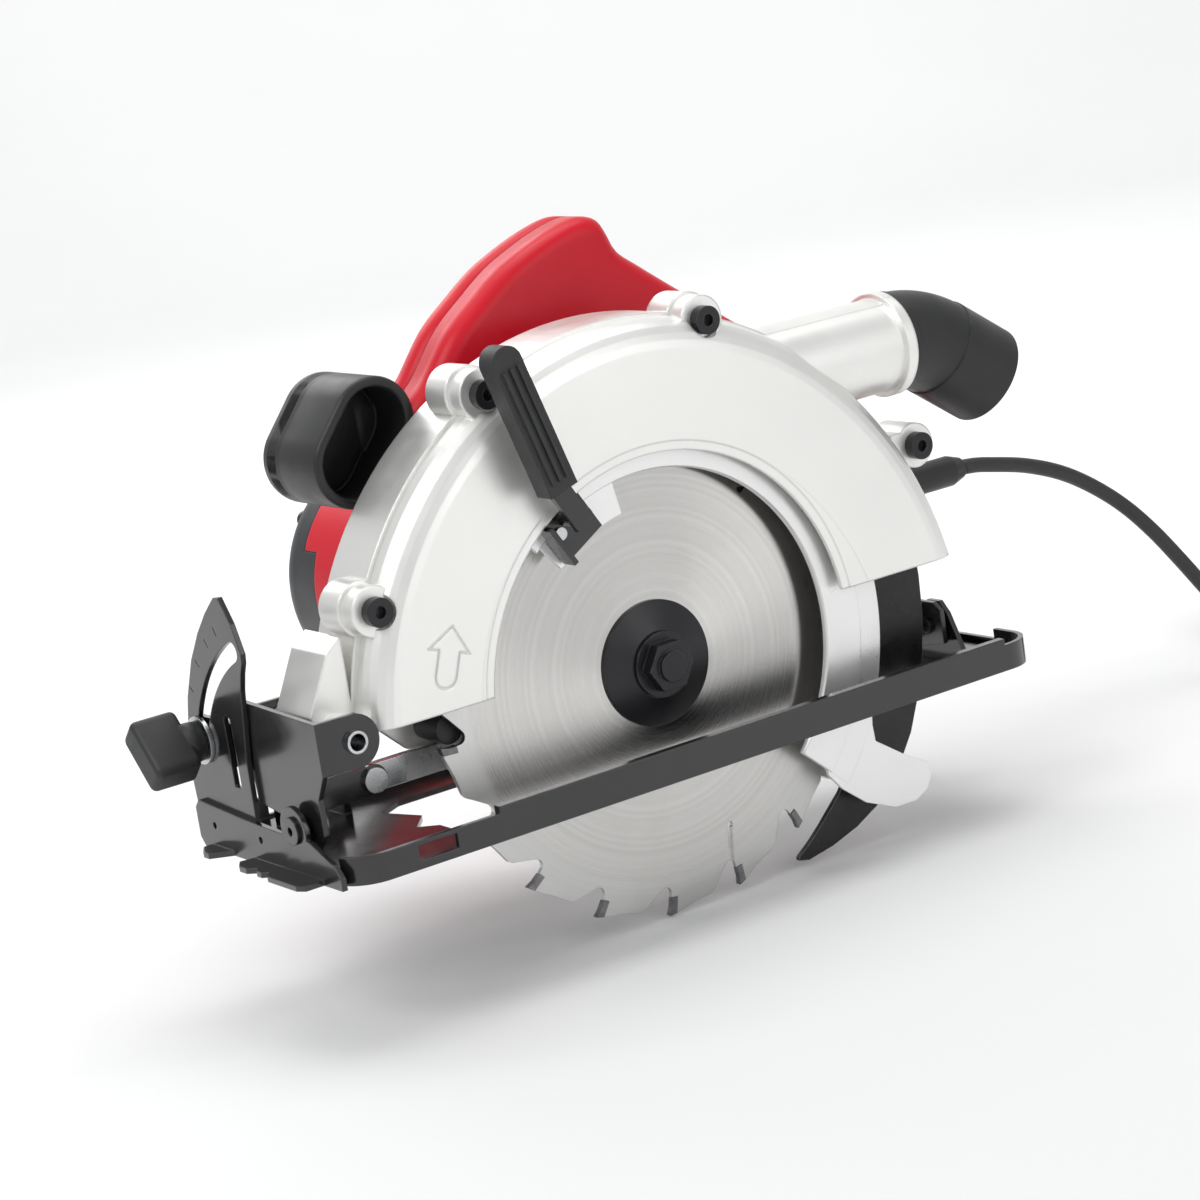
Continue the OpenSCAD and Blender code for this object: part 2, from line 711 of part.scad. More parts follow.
module fan() color(grey) up() translate([motor_x, 0, motor_z]) difference() {
  union() {
    rod(40, 47, 48.6);
    rod(9, 46.6, 53);
    for (i = [0:10]) rotate([0, i * 360 / 11, 0]) translate([8, 48, -0.8]) cube([31, 4.6, 1.6]);
  }
  rod(4, 40, 60);
}

// ---------- drive housings ----------

module gear_case() color(cast) up() difference() {
  union() {
    rod(18, 11.8, 45);
    slab(back_y, 45) union() {
      circle(r = 36.2);
      translate([motor_x, motor_z]) circle(r = 24);
      polygon([[-36, 0], [-50, 26], [-8, 46], [34, 10]]);
    }
    rod(motor_r, 41, 45, motor_x, motor_z);
  }
  rod(15, 11, 20);
  rod(6.6, 10, 30);
  rod(35, 24, 36);
  rod(11, 24, 36, motor_x, motor_z);
  rod(11, 36, 42.5);
  rod(11, 37, 44, motor_x, motor_z);
  rod(4.4, 35, 46, motor_x, motor_z);
  rod(4.06, 30, 46, 24, -16);
  rod(3.6, 34, 46, motor_x, motor_z);
}

module spindle_bearings() color(steel) up() {
  spin() polygon([[6, -12], [15, -12], [15, -19.6], [6, -19.6]]);
  spin() polygon([[6, -36.2], [11, -36.2], [11, -42.4], [6, -42.4]]);
}

module motor_bearings() color(steel) up() translate([motor_x, 0, motor_z]) {
  spin() polygon([[4.03, -37.2], [11, -37.2], [11, -43.8], [4.03, -43.8]]);
  spin() polygon([[4.03, -119], [11, -119], [11, -126], [4.03, -126]]);
}

module motor_housing() color(red) up() difference() {
  union() {
    rod(motor_r, 45, 110, motor_x, motor_z);
    // tab that keys into the end cap
    intersection() {
      rod(motor_r, 109, 119, motor_x, motor_z);
      translate([motor_x - 48, 105, motor_z + 18]) cube([30, 20, 40]);
    }
  }
  rod(motor_r - 2.6, 44, 130, motor_x, motor_z);
  // cooling slots
  for (i = [-3:3]) rotate([0, 0, 0]) translate([motor_x + i * 8 - 2, 52, motor_z - motor_r - 1])
    cube([4, 8, 60]);
}

module motor_cap() color(grey) up() translate([motor_x, 0, motor_z]) difference() {
  spin() difference() {
    union() {
      translate([0, -126]) square([motor_r, 16]);
      translate([0, -140]) square([motor_r - 14, 15]);
      intersection() {
        translate([motor_r - 14, -126]) circle(r = 14);
        translate([motor_r - 14, -140]) square([15, 15]);
      }
    }
    translate([-1, -126]) square([motor_r - 1.6, 17]);
    translate([-1, -137.4]) square([motor_r - 13, 12]);
    intersection() {
      translate([motor_r - 14, -126]) circle(r = 11.4);
      translate([motor_r - 15, -140]) square([15, 15]);
    }
  }
  translate([-48.3, 100, 17.7]) cube([30.6, 19.3, 40]);
  for (a = [40, 220]) rotate([0, a, 0]) {
    rod(1.9, 120, 142, 39.5, 0);
    rod(3.5, 137.7, 142, 39.5, 0);
  }
  for (i = [0:17]) rotate([0, i * 20, 0]) translate([15, 130, -1.6]) cube([20, 12, 3.2]);
}

module cap_screws() color(zinc) up() translate([motor_x, 0, motor_z])
  for (a = [40, 220]) rotate([0, a, 0]) translate([39.5, 0, 0]) {
    rod(1.8, 102.2, 139, 0, 0);
    rod(3.4, 137.8, 139.6, 0, 0);
  }

module stator() color([0.5, 0.38, 0.28]) up() translate([motor_x, 0, motor_z]) difference() {
  union() {
    rod(motor_r - 2.6, 60, 96);
    rod(36, 56, 102);
  }
  rod(22.6, 50, 110);
}

module brushes() color([0.2, 0.2, 0.2]) up() translate([motor_x, 0, motor_z]) {
  for (s = [-1, 1]) translate([s > 0 ? 12.15 : -41.15, 106, -4]) cube([29, 8, 8]);
  // bridge that carries the rear bearing
  difference() {
    rod(14, 119, 126);
    rod(11, 118, 127);
  }
  for (s = [0, 180]) rotate([0, s + 90, 0]) translate([13.5, 120, -5]) cube([29.5, 4, 10]);
  for (s = [-1, 1]) translate([s > 0 ? 13.5 : -30, 114, -4]) cube([16.5, 9, 8]);
}

// ---------- main handle ----------

grip_line = [[-56, 103], [-46, 113], [-33.5, 127.7], [-20, 138], [-8, 146], [4, 151.5],
  [14, 155.2], [24, 158], [31, 158.6], [37, 156], [40.4, 150.5], [44, 143], [54, 135],
  [70, 123], [88, 110], [104, 98], [118, 87], [130, 77], [141, 66], [150, 54], [158, 42],
  [163, 32], [166, 22], [165, 13], [160, 6], [150, 1], [130, -3], [90, -6], [56, -8], [30, -6],
  [14, -4], [-4, 22], [-50, 50], [-58, 70], [-56, 91]];

module handle_outline() difference() {
  polygon(grip_line);
  translate([motor_x, motor_z]) circle(r = motor_r);
}

module finger_hole() polygon([[38, 60], [36, 76], [40, 88], [50, 95], [62, 93], [100, 67.5],
  [140, 42], [149, 34], [150, 26], [144, 20], [120, 16], [80, 14], [58, 20], [44, 36]]);

// trigger outline, drawn at rest
module trigger_2d() polygon([[50, 99], [52, 88], [57, 80], [64, 79.5], [72, 78], [84, 72],
  [92, 69], [97, 72], [97, 82], [90, 90], [64, 104], [52, 104]]);

// space that the trigger and its travel take inside the grip
module trigger_space() polygon([[45, 102], [51, 84], [62, 76], [90, 66], [101, 68], [102, 84],
  [92, 95], [66, 116], [52, 116]]);

module handle_half(y0, y1) difference() {
  slab(y0, y1) difference() {
    handle_outline();
    finger_hole();
  }
  slab(51.4, 69.6) trigger_space();
  rod(2, 47.5, 73.5, 93, 79);
  // room for the switch
  translate([114, 0, 75]) rotate([0, 33.6, 0]) block(-11, 13, 50, 71, -7.5, 7.5);
  // cord passage and sleeve seat
  xrod(4.6, 150.5, 192, 60.5, 22.5);
  xrod(6.3, 155, 192, 60.5, 22.5);
  // lock button seat
  rod(5.06, 66, 80, 66, 116);
  for (p = screw_xz) rod(1.8, 50, 80, p[0], p[1]);
}

screw_xz = [[12, 138], [-30, 110], [120, 8], [153, 37], [137, 60]];

module handle_near() color(red) up() handle_half(grip_y0, grip_ym);
module handle_far() color(red) up() handle_half(grip_ym, grip_y1);

module handle_screws() color(black) up() {
  for (p = screw_xz) {
    rod(1.8, 50, grip_y1, p[0], p[1]);
    rod(3.6, grip_y1, grip_y1 + 1.6, p[0], p[1]);
  }
  rod(2, 47.5, 73.5, 93, 79);
}

module switch_block() color([0.12, 0.12, 0.13]) up()
  translate([114, 0, 75]) rotate([0, 33.6, 0]) block(-10, 12, 51, 70, -6.5, 6.5);

module trigger() color(black) up() difference() {
  slab(52, 69) trigger_2d();
  rod(2.06, 50, 72, 93, 79);
}

module lock_button() color(black) up() rod(5, 70.5, 78.5, 66, 116);

module spindle_lock() color(black) up() {
  rod(4, 36.6, 49, 24, -16);
  rod(7, 49, 54, 24, -16);
}

// ---------- auxiliary handle ----------

module aux_handle() color(black) up() difference() {
  translate([-88, 0, 100]) union() {
    slab(27, 70) rotate(50) stadium(16.5, 8);
    slab(48, 66) polygon([[10, -12], [26, -7], [26, 7], [10, 12]]);
  }
  translate([-88, 0, 100]) slab(26, 58) rotate(50) stadium(12.6, 8);
}

module aux_spacer() color(zinc) up() xrod(4.6, -62, -56, 57, 99);

module cord_sleeve() color(black) up() difference() {
  union() {
    xrod(6.3, 155, 197, 60.5, 22.5);
    translate([197, 60.5, 22.5]) rotate([0, 90, 0]) cylinder(r1 = 6.3, r2 = 4.4, h = 6);
  }
  xrod(cord_r + 0.05, 150, 210, 60.5, 22.5);
}

// ---------- cord ----------

// points along the cord, from the sleeve to the coil, measured from the blade axis
cord_pts = [[153, 60.5, 22.5], [176, 60.5, 22.5], [203, 60.5, 22.5], [220, 60.5, 20],
  [238, 60.5, 15.5], [256, 60, 8.5], [272, 59, -1], [287, 57.5, -13], [300, 55.5, -27],
  [312, 53, -43], [323, 50, -59], [334, 46.5, -74], [347, 42.5, -85], [362, 38.5, -90.6],
  [378, 35.3, -91.8], [394, 33.7, -91.8], [410, 33.5, -91.8]];

module tube_along(pts, r, sides) {
  n = len(pts);
  dirs = [for (i = [0:n - 1]) let (a = pts[max(0, i - 1)], b = pts[min(n - 1, i + 1)])
    (b - a) / norm(b - a)];
  side = [for (d = dirs) let (s = cross(d, [0, 1, 0.02])) s / norm(s)];
  rise = [for (i = [0:n - 1]) cross(side[i], dirs[i])];
  verts = [for (i = [0:n - 1], k = [0:sides - 1])
    pts[i] + r * (cos(k * 360 / sides) * side[i] + sin(k * 360 / sides) * rise[i])];
  walls = [for (i = [0:n - 2], k = [0:sides - 1])
    [i * sides + k, (i + 1) * sides + k, (i + 1) * sides + (k + 1) % sides, i * sides + (k + 1) % sides]];
  first = [for (k = [0:sides - 1]) k];
  last = [for (k = [sides - 1:-1:0]) (n - 1) * sides + k];
  polyhedron(points = verts, faces = concat([first], walls, [last]));
}

module cord() color(black) up() tube_along(cord_pts, cord_r, 10);

coil_x = 410;
coil_y = 75;

module cord_coil() color(black) up() translate([coil_x, coil_y, floor_z]) rotate_extrude()
  union() {
    for (i = [0:2], k = [0:3]) translate([28.5 + i * 6.5, 3.2 + k * 6.5]) circle(r = cord_r);
    translate([28.5, 3.2]) square([13, 19.5]);
  }

// the plug lies on top of the coil
module plug() color(black) up() translate([coil_x + 28.5, coil_y, floor_z + 37.88])
  rotate([-90, 0, 0]) {
    translate([0, 0, 14]) cylinder(r = 12, h = 32);
    translate([0, 0, 2]) cylinder(r1 = 4.4, r2 = 9, h = 12);
  }

module plug_pins() color(zinc) up() translate([coil_x + 28.5, coil_y + 46, floor_z + 37.88])
  for (s = [-8.55, 8.55]) translate([s, 0, 0]) rotate([-90, 0, 0]) cylinder(r = 2.4, h = 19);

// ---------- output ----------
base_plate();
front_flange();
bevel_quadrant();
base_pivots();
rear_lug();
fence_screw();
tilt_bracket();
tie_strap();
strap_rivet();
depth_pin();
rear_bracket();
depth_arc();
bevel_bolt();
bevel_knob();
guard_shell();
guard_cover();
cover_screws();
guard_stop();
gear_case();
motor_housing();
motor_cap();
cap_screws();
stator();
brushes();
spindle_bearings();
motor_bearings();
handle_near();
handle_far();
handle_screws();
switch_block();
aux_handle();
aux_spacer();
riving_knife();
knife_bolts();
depth_bolt();
cord_sleeve();
spindle();
blade();
blade_tips();
outer_flange();
blade_bolt();
spindle_gear();
armature_shaft();
armature_core();
commutator();
fan();
lower_guard();
guard_bracket();
guard_rivets();
guard_lever();
trigger();
lock_button();
spindle_lock();
dust_elbow();
depth_lever();
cord();
cord_coil();
plug();
plug_pins();
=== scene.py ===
"""Circular saw: materials, rounded pieces, cord, light and camera on top of the CAD frame."""

import math

import bmesh
import bpy
from mathutils import Matrix, Vector


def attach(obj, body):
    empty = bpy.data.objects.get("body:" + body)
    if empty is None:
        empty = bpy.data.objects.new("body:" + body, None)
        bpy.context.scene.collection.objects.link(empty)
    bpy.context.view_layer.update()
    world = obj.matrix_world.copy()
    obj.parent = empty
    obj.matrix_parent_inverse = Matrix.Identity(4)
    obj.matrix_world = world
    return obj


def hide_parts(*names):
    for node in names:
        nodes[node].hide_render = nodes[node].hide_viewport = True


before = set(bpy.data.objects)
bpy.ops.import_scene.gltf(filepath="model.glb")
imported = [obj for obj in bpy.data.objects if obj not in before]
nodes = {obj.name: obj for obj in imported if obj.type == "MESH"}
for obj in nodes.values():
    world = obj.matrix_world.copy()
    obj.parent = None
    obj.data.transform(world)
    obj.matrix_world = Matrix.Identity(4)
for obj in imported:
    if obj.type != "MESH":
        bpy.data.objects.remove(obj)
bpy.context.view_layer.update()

AXIS = 36.5  # height of the blade axis over the sole, mm
FLOOR = -0.0587  # what the blade and the coiled cord stand on, m under the sole

# the camera: where it looks from (degrees and metres) and what it looks at
CAM_AZIMUTH = math.radians(-32.86)
CAM_ELEVATION = math.radians(12.45)
CAM_ROLL = math.radians(-8.71)
CAM_DISTANCE = 1.20859
CAM_TARGET = Vector((-0.01897, 0, 0.06481))
CAM_LENS = 100.86


def P(x, y, z):
    """A point in mm, measured from the blade axis, as metres in the row frame."""
    return Vector((x, y, z + AXIS)) / 1000


# ---------------------------------------------------------------- camera
def place_camera():
    """Put the camera in place and give back the direction from the aim towards it."""
    az, el, roll = CAM_AZIMUTH, CAM_ELEVATION, CAM_ROLL
    back = Vector(
        (math.sin(az) * math.cos(el), -math.cos(az) * math.cos(el), math.sin(el))
    )
    right = Vector((math.cos(az), math.sin(az), 0))
    up = back.cross(right)
    r = right * math.cos(roll) + up * math.sin(roll)
    u = up * math.cos(roll) - right * math.sin(roll)
    cam = bpy.data.objects.new("Camera", bpy.data.cameras.new("Camera"))
    cam.data.sensor_width = 36
    cam.data.lens = CAM_LENS
    cam.data.clip_start = 0.05
    cam.data.clip_end = 30
    m = Matrix((r, u, back)).transposed().to_4x4()
    m.translation = CAM_TARGET + back * CAM_DISTANCE
    cam.matrix_world = m
    bpy.context.scene.collection.objects.link(cam)
    bpy.context.scene.camera = cam
    return back


cam_back = place_camera()


def add(name, mesh, body=None):
    """A smooth-shaded object of the mesh, on the body if one is given."""
    obj = bpy.data.objects.new(name, mesh)
    bpy.context.scene.collection.objects.link(obj)
    for p in mesh.polygons:
        p.use_smooth = True
    if body:
        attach(obj, body)
    return obj


# ---------------------------------------------------------------- meshes
def tube_mesh(name, pts, radii, sides=16):
    """A swept tube along pts, with parallel-carried frames and closed ends."""
    bm = bmesh.new()
    rings = []
    normal = None
    n = len(pts)
    for i, p in enumerate(pts):
        d = (pts[min(i + 1, n - 1)] - pts[max(i - 1, 0)]).normalized()
        if normal is None:
            normal = d.orthogonal().normalized()
        normal = (normal - d * normal.dot(d)).normalized()
        side = d.cross(normal)
        r = radii[i] if isinstance(radii, list) else radii
        rings.append(
            [
                bm.verts.new(
                    p
                    + r
                    * (
                        math.cos(2 * math.pi * k / sides) * normal
                        + math.sin(2 * math.pi * k / sides) * side
                    )
                )
                for k in range(sides)
            ]
        )
    for a, b in zip(rings, rings[1:]):
        for k in range(sides):
            bm.faces.new((a[k], a[(k + 1) % sides], b[(k + 1) % sides], b[k]))
    bm.faces.new(rings[0][::-1])
    bm.faces.new(rings[-1])
    bmesh.ops.recalc_face_normals(bm, faces=bm.faces)
    mesh = bpy.data.meshes.new(name)
    bm.to_mesh(mesh)
    bm.free()
    return mesh


def between(p0, p1, p2, p3, t):
    """The point a part t of the way from p1 to p2 on a Catmull-Rom line."""
    return 0.5 * (
        2 * p1
        + (p2 - p0) * t
        + (2 * p0 - 5 * p1 + 4 * p2 - p3) * t**2
        + (3 * p1 - 3 * p2 + p3 - p0) * t**3
    )


def catmull(points, step):
    """Points of a Catmull-Rom line through the given ones, about step apart."""
    out = []
    ext = [points[0] * 2 - points[1]] + points + [points[-1] * 2 - points[-2]]
    for i in range(1, len(ext) - 2):
        quad = ext[i - 1 : i + 3]
        n = max(1, round((quad[2] - quad[1]).length / step))
        out += [between(*quad, k / n) for k in range(n)]
    out.append(points[-1])
    return out


def rounded(name, loops, y0, y1, bevel, body=None, res=4, place=None):
    """A plate with rounded edges: XZ outlines in mm from the blade axis, from y0 to y1."""
    curve = bpy.data.curves.new(name + "_line", "CURVE")
    curve.dimensions = "2D"
    curve.fill_mode = "BOTH"
    for loop in loops:
        s = curve.splines.new("POLY")
        s.points.add(len(loop) - 1)
        for q, (x, z) in zip(s.points, loop):
            q.co = (x / 1000, z / 1000, 0, 1)
        s.use_cyclic_u = True
    curve.offset = -bevel / 1000
    curve.extrude = ((y1 - y0) / 2 - bevel) / 1000
    curve.bevel_depth = bevel / 1000
    curve.bevel_resolution = res
    tmp = bpy.data.objects.new(name + "_tmp", curve)
    bpy.context.scene.collection.objects.link(tmp)
    bpy.context.view_layer.update()
    mesh = bpy.data.meshes.new_from_object(
        tmp.evaluated_get(bpy.context.evaluated_depsgraph_get())
    )
    bpy.data.objects.remove(tmp)
    bpy.data.curves.remove(curve)
    # curve XY to row XZ, centred at the middle y
    m = Matrix(((1, 0, 0, 0), (0, 0, -1, 0), (0, 1, 0, 0), (0, 0, 0, 1)))
    m.translation = P(0, (y0 + y1) / 2, 0)
    mesh.transform(place or m)
    bm = bmesh.new()
    bm.from_mesh(mesh)
    bmesh.ops.remove_doubles(bm, verts=bm.verts, dist=1e-6)
    bmesh.ops.recalc_face_normals(bm, faces=bm.faces)
    bm.to_mesh(mesh)
    bm.free()
    mesh.name = name
    return add(name, mesh, body)


def soft_loop(points, step=2.5):
    """A closed smooth line through XZ points."""
    pts = [Vector((p[0], p[1], 0)) for p in points]
    n = len(pts)
    out = []
    for i in range(n):
        quad = [pts[(i + k) % n] for k in (-1, 0, 1, 2)]
        m = max(1, round((quad[2] - quad[1]).length / step))
        out += [tuple(between(*quad, k / m).xy) for k in range(m)]
    return out


# ---------------------------------------------------------------- cord, coil and plug
CORD = 0.0064  # cord diameter, m
COIL = (410.0, 75.0)  # the coil's middle, X and Y in mm
COIL_RADII = (41.5, 35.0, 28.5)  # the turns of one layer, mm
COIL_LAYERS = 4
COIL_FLOOR = -95.0  # the surface under the coil, mm from the blade axis
PITCH = 6.5  # from one turn to the next and one layer to the next, mm
PLUG_HEIGHT = 37.88  # the cord's entry into the plug over the surface, mm
PER_TURN = 72  # points in one turn


def ease(w):
    """0 to 1 with soft ends; anything under 0 is 0."""
    w = max(0.0, w)
    return w * w * (3 - 2 * w)


def on_coil(r, turn, height):
    """A point of the coil, a part of a turn on from its nearest point to the saw's side."""
    a = math.radians(-90 + 360 * turn)
    return P(COIL[0] + r * math.cos(a), COIL[1] + r * math.sin(a), COIL_FLOOR + height)


def build_cord():
    """The cord from the bend sleeve down to the coil, round it and up into the plug."""
    route = [
        P(*p)
        for p in (
            (202.5, 60.5, 22.5),
            (211, 60.5, 21.8),
            (220, 60.5, 20),
            (238, 60.5, 15.5),
            (256, 60, 8.5),
            (272, 59, -1),
            (287, 57.5, -13),
            (300, 55.5, -27),
            (312, 53, -43),
            (323, 50, -59),
            (334, 46.5, -74),
            (347, 42.5, -85),
            (362, 38.5, -90.6),
            (378, 35.3, -91.65),
            (394, 33.7, -91.65),
        )
    ]
    # flat spiral layers, inwards and outwards in turn, each turn a diameter from the next
    turns = []
    for layer in range(COIL_LAYERS):
        for r in COIL_RADII if layer % 2 == 0 else COIL_RADII[::-1]:
            turns.append((r, 3.35 + layer * PITCH))
    turns.append(turns[-1])
    for t, (r, z) in enumerate(turns[:-1]):
        nr, nz = turns[t + 1]
        for k in range(PER_TURN):
            f = k / PER_TURN
            w = ease((f - 0.7) / 0.3)  # the last part of a turn moves on to the next
            route.append(on_coil(r + (nr - r) * w, f, z + (nz - z) * w))
    # a last quarter of a turn rises off the top to the plug
    r, top = turns[-1]
    for k in range(PER_TURN // 4 + 1):
        f = k / PER_TURN
        route.append(on_coil(r, f, top + (PLUG_HEIGHT - top) * ease((f - 0.02) / 0.23)))
    route.append(P(COIL[0] + r, COIL[1] + 3, COIL_FLOOR + PLUG_HEIGHT))
    fine = catmull(route, 0.004)
    length = sum((b - a).length for a, b in zip(fine, fine[1:]))
    obj = add("cord_run", tube_mesh("cord_run", fine, CORD / 2, 14), "saw_body")
    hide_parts("cord", "cord_coil")
    return obj, length


cord_run, cord_length = build_cord()


# ---------------------------------------------------------------- rounded pieces
def merged(name, parts, body):
    """One piece from several meshes."""
    bm = bmesh.new()
    for o in parts:
        bm.from_mesh(o.data)
        mesh = o.data
        bpy.data.objects.remove(o)
        bpy.data.meshes.remove(mesh)
    mesh = bpy.data.meshes.new(name)
    bm.to_mesh(mesh)
    bm.free()
    return add(name, mesh, body)


def half(source, name, y, keep_low, body):
    """The part of a piece on one side of the plane y (mm), closed there."""
    bm = bmesh.new()
    bm.from_mesh(source.data)
    cut = bmesh.ops.bisect_plane(
        bm,
        geom=bm.verts[:] + bm.edges[:] + bm.faces[:],
        plane_co=(0, y / 1000, 0),
        plane_no=(0, 1, 0),
        clear_outer=keep_low,
        clear_inner=not keep_low,
    )
    rim = [e for e in cut["geom_cut"] if isinstance(e, bmesh.types.BMEdge)]
    bmesh.ops.triangle_fill(bm, edges=rim, use_beauty=True)
    bmesh.ops.recalc_face_normals(bm, faces=bm.faces)
    mesh = bpy.data.meshes.new(name)
    bm.to_mesh(mesh)
    bm.free()
    return add(name, mesh, body)


GRIP = (
    (-56, 103), (-46, 113), (-33.5, 127.7), (-20, 138), (-8, 146), (4, 151.5), (14, 155.2),
    (24, 157.9), (31, 158.3), (37, 156), (40.4, 150.5), (44, 143), (54, 135), (70, 123),
    (88, 110), (104, 98), (118, 87), (130, 77), (141, 66), (150, 54), (158, 42), (163, 32),
    (166, 22), (165, 13), (160, 6), (150, 1), (130, -3), (90, -6), (56, -8), (30, -6),
    (14, -4), (-4, 22), (-50, 50), (-58, 70), (-56, 91),
)
FINGERS = (
    (38, 60), (36, 76), (40, 88), (50, 95), (62, 93), (100, 67.5), (140, 42), (149, 34),
    (150, 26), (144, 20), (120, 16), (80, 14), (58, 20), (44, 36),
)
whole = rounded("grip", [soft_loop(GRIP), soft_loop(FINGERS)], 45.5, 75.5, 6.5, res=6)
grip_near = half(whole, "grip_near", 60.4, True, "saw_body")
grip_far = half(whole, "grip_far", 60.6, False, "saw_body")
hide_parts("handle_near")
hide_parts("handle_far")
old = whole.data
bpy.data.objects.remove(whole)
bpy.data.meshes.remove(old)


def stadium(cx, cz, r, half_length, turn, n=28):
    """The outline of a slot: two half circles, turned by turn degrees about its middle."""
    out = []
    for s in (1, -1):
        for k in range(n + 1):
            a = math.radians(-90 + 180 * k / n)
            x, z = s * (half_length + r * math.cos(a)), s * r * math.sin(a)
            c, d = math.cos(math.radians(turn)), math.sin(math.radians(turn))
            out.append((cx + c * x - d * z, cz + d * x + c * z))
    return out


front_outer = stadium(-88, 100, 16.5, 8, 50)
front_inner = stadium(-88, 100, 12.6, 8, 50)
front_grip = merged(
    "front_grip",
    [
        rounded("front_rim", [front_outer, front_inner], 27, 64, 1.9),
        rounded("front_end", [front_outer], 49, 70, 7, res=8),
        rounded("front_stub", [[(-78, 88), (-62, 93), (-62, 107), (-78, 112)]], 48, 66, 2),
    ],
    "saw_body",
)
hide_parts("aux_handle")


BEVEL_PIVOT = (2.5, -19.5)  # the tilt axis, Y and Z in mm
CLAMP_R = 65.5  # the clamp bolt's distance from it, mm
CLAMP_ANGLE = math.radians(21.3)
KNOB_TURN = math.radians(46)


def knob_block():
    """The clamp's knob: a rounded block across its axis, and a short neck."""
    turn = KNOB_TURN
    w, h, r = 12.4, 6.4, 3.0
    corners = ((w - r, h - r), (r - w, h - r), (r - w, r - h), (w - r, r - h))
    loop = []
    for quarter, (cx, cy) in enumerate(corners):
        for k in range(7):
            a = math.radians(90 * quarter + 15 * k)
            loop.append((cx + r * math.cos(a), cy + r * math.sin(a)))
    # curve X and Y to row Y and Z, turned about X, centred on the knob axis
    y = BEVEL_PIVOT[0] + CLAMP_R * math.cos(CLAMP_ANGLE)
    z = BEVEL_PIVOT[1] + CLAMP_R * math.sin(CLAMP_ANGLE)
    m = Matrix(
        (
            (0, 0, 1, 0),
            (math.cos(turn), -math.sin(turn), 0, 0),
            (math.sin(turn), math.cos(turn), 0, 0),
            (0, 0, 0, 1),
        )
    )
    m.translation = P(-169, y, z)
    block = rounded("knob_block", [loop], -9, 9, 2.4, res=6, place=m)
    neck_line = [P(x, y, z) for x in (-162, -158, -155)]
    neck = add("knob_neck", tube_mesh("knob_neck", neck_line, [0.0076, 0.0076, 0.0072], 40))
    return merged("knob_grip", [block, neck], "bevel_clamp")


knob = knob_block()
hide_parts("bevel_knob")


# ---------------------------------------------------------------- materials
class Nodes:
    """A new material with short ways to add and join its nodes."""

    def __init__(self, name):
        self.mat = bpy.data.materials.new(name)
        self.mat.use_nodes = True
        self.t = self.mat.node_tree
        self.bsdf = self.t.nodes["Principled BSDF"]
        self.coord = self.new("ShaderNodeTexCoord").outputs["Object"]

    def new(self, kind, **props):
        n = self.t.nodes.new(kind)
        for k, v in props.items():
            setattr(n, k, v)
        return n

    def link(self, a, b):
        self.t.links.new(a, b)

    def scaled(self, sx, sy, sz):
        m = self.new("ShaderNodeMapping")
        m.inputs["Scale"].default_value = (sx, sy, sz)
        self.link(self.coord, m.inputs["Vector"])
        return m.outputs["Vector"]

    def noise(self, scale, detail=3.0, rough=0.5, vector=None):
        n = self.new("ShaderNodeTexNoise")
        n.inputs["Scale"].default_value = scale
        n.inputs["Detail"].default_value = detail
        n.inputs["Roughness"].default_value = rough
        self.link(vector or self.coord, n.inputs["Vector"])
        return n.outputs["Fac"]

    def voronoi(self, scale, feature="F1"):
        n = self.new("ShaderNodeTexVoronoi", feature=feature)
        n.inputs["Scale"].default_value = scale
        self.link(self.coord, n.inputs["Vector"])
        return n.outputs["Distance"]

    def ramp(self, fac, stops):
        n = self.new("ShaderNodeValToRGB")
        e = n.color_ramp.elements
        while len(e) < len(stops):
            e.new(0.5)
        for el, (pos, col) in zip(e, stops):
            el.position = pos
            el.color = (*col, 1) if isinstance(col, tuple) else (col, col, col, 1)
        self.link(fac, n.inputs["Fac"])
        return n.outputs["Color"]

    def mix(self, fac, a, b):
        n = self.new("ShaderNodeMix", data_type="RGBA")
        for value, socket in ((fac, n.inputs[0]), (a, n.inputs[6]), (b, n.inputs[7])):
            if isinstance(value, bpy.types.NodeSocket):
                self.link(value, socket)
            elif isinstance(value, tuple):
                socket.default_value = (*value, 1)
            else:
                socket.default_value = value
        return n.outputs[2]

    def math(self, op, a, b=0.0, clamp=False):
        n = self.new("ShaderNodeMath", operation=op, use_clamp=clamp)
        for value, socket in ((a, n.inputs[0]), (b, n.inputs[1])):
            if isinstance(value, bpy.types.NodeSocket):
                self.link(value, socket)
            else:
                socket.default_value = value
        return n.outputs[0]

    def bump(self, height, strength, distance, normal=None):
        n = self.new("ShaderNodeBump")
        n.inputs["Strength"].default_value = strength
        n.inputs["Distance"].default_value = distance
        self.link(height, n.inputs["Height"])
        if normal is not None:
            self.link(normal, n.inputs["Normal"])
        return n.outputs["Normal"]

    def round_edges(self, radius):
        n = self.new("ShaderNodeBevel", samples=6)
        n.inputs["Radius"].default_value = radius
        return n.outputs["Normal"]

    def edge_mask(self, radius):
        """1 on outer and inner edges, 0 on faces."""
        n = self.new("ShaderNodeBevel", samples=6)
        n.inputs["Radius"].default_value = radius
        g = self.new("ShaderNodeNewGeometry")
        d = self.new("ShaderNodeVectorMath", operation="DOT_PRODUCT")
        self.link(n.outputs["Normal"], d.inputs[0])
        self.link(g.outputs["Normal"], d.inputs[1])
        return self.ramp(d.outputs["Value"], [(0.72, 1.0), (0.96, 0.0)])


